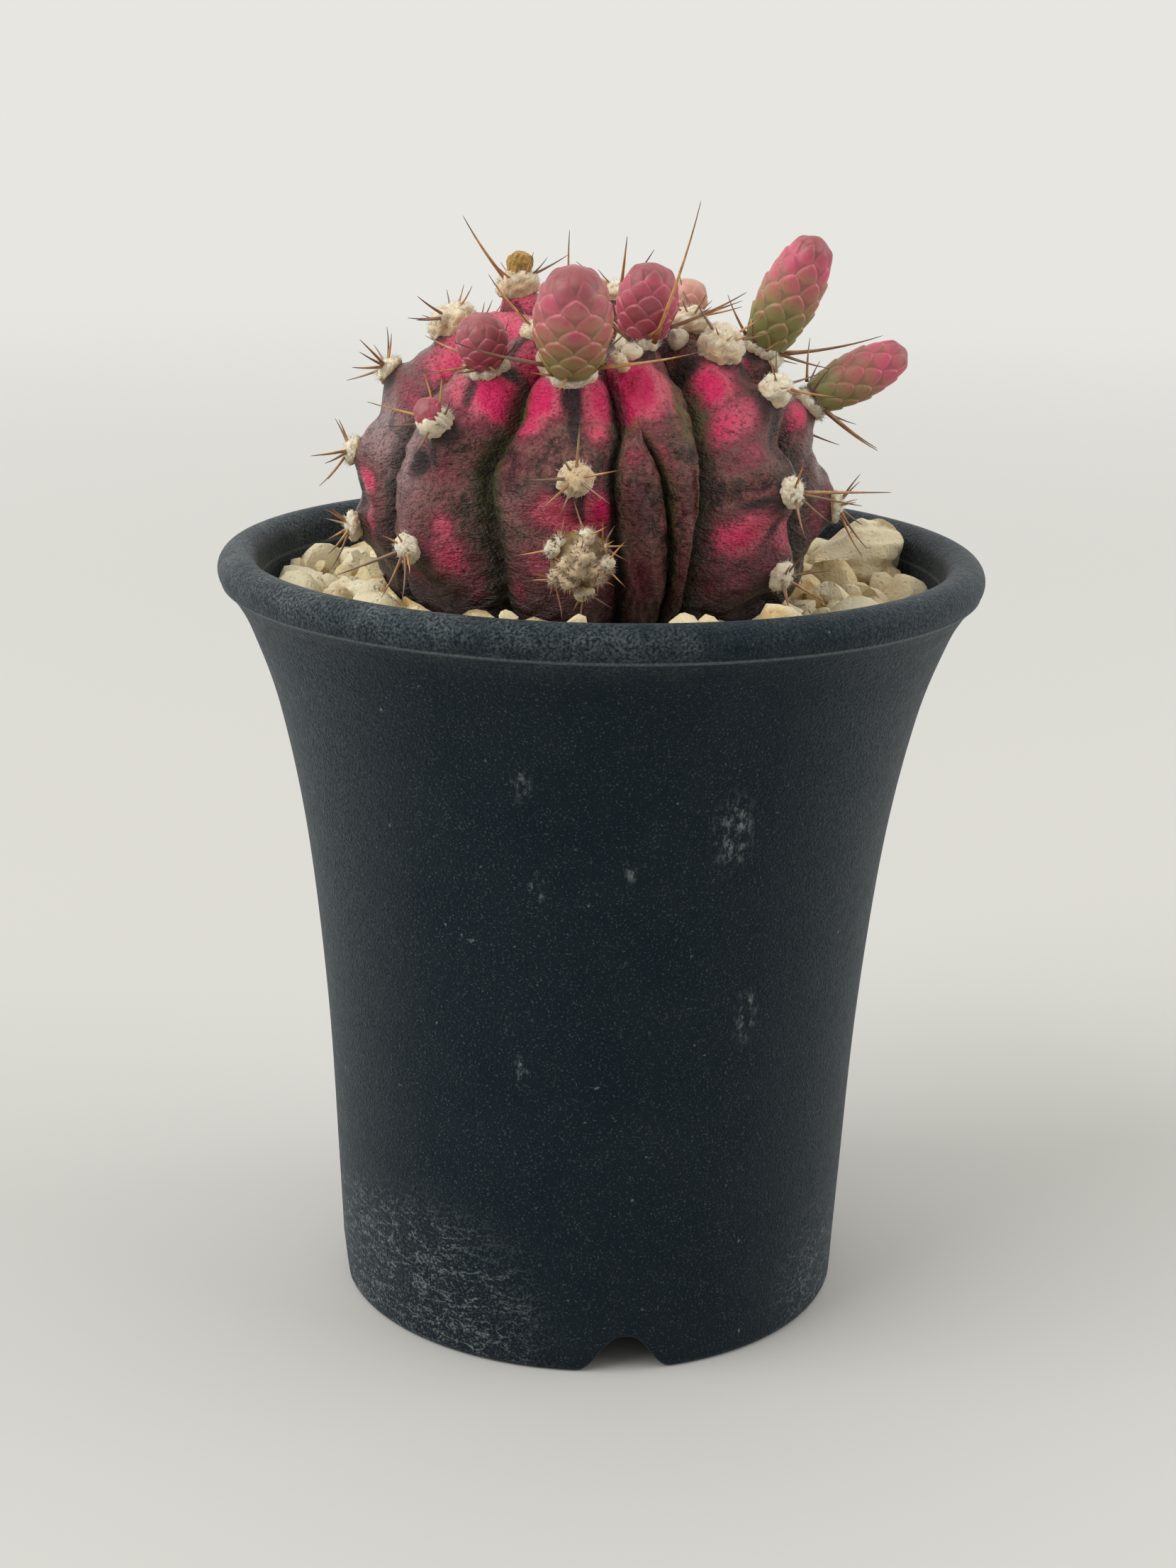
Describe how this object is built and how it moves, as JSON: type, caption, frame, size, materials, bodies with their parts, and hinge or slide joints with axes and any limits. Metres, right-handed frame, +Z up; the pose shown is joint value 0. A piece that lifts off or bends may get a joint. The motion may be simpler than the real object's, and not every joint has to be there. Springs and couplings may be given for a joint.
{
  "type": "potted moon cactus",
  "caption": "Ribbed moon cactus globe with scaly buds and spiny woolly areoles, in a tall flared round pot topped with pumice.",
  "frame": {"origin": "middle of the pot's foot, on the surface it stands on", "axes": "+Z up along the pot's axis, -Y towards the front of the plant, +X to its right seen from the front"},
  "size_m": [0.09, 0.09, 0.1329],
  "materials": {
    "pot_plastic": "matte moulded grain, blue-black, with pale dust and lime marks",
    "potting_mix": "dry gritty potting mix",
    "pumice": "rough porous pumice, cream with ochre stains",
    "cactus_skin": "waxy wrinkled skin, purple-brown with magenta patches",
    "areole_wool": "cream felted wool",
    "bud_skin": "satin scales, rose with olive bases and pale edges",
    "dry_bud": "dry shrivelled skin",
    "pup_wool": "yellowish wool over a pale green head"
  },
  "bodies": {
    "root": {"pot": "pot_plastic", "potting_mix": "potting_mix", "pumice": "pumice", "stem": "cactus_skin", "pup": "pup_wool", "areole_a0": "areole_wool", "areole_a1": "areole_wool", "areole_a2": "areole_wool", "areole_a3": "areole_wool", "areole_b0": "areole_wool", "areole_b1": "areole_wool", "areole_b2": "areole_wool", "areole_b3": "areole_wool", "areole_c0": "areole_wool", "areole_c1": "areole_wool", "areole_c2": "areole_wool", "areole_d1": "areole_wool", "areole_e0": "areole_wool", "areole_e1": "areole_wool", "areole_e2": "areole_wool", "areole_e3": "areole_wool", "areole_f0": "areole_wool", "areole_f1": "areole_wool", "areole_f2": "areole_wool", "areole_f3": "areole_wool", "areole_g1": "areole_wool", "areole_g2": "areole_wool", "areole_g3": "areole_wool", "areole_h1": "areole_wool", "areole_h2": "areole_wool", "areole_h3": "areole_wool", "areole_h4": "areole_wool", "areole_i1": "areole_wool", "areole_i2": "areole_wool", "areole_i3": "areole_wool", "bud_b1": "bud_skin", "bud_b2": "bud_skin", "bud_c1": "bud_skin", "bud_d1": "bud_skin", "bud_f1": "bud_skin", "bud_f2": "bud_skin", "bud_g1": "bud_skin", "bud_i1": "dry_bud"}
  },
  "joints": []
}
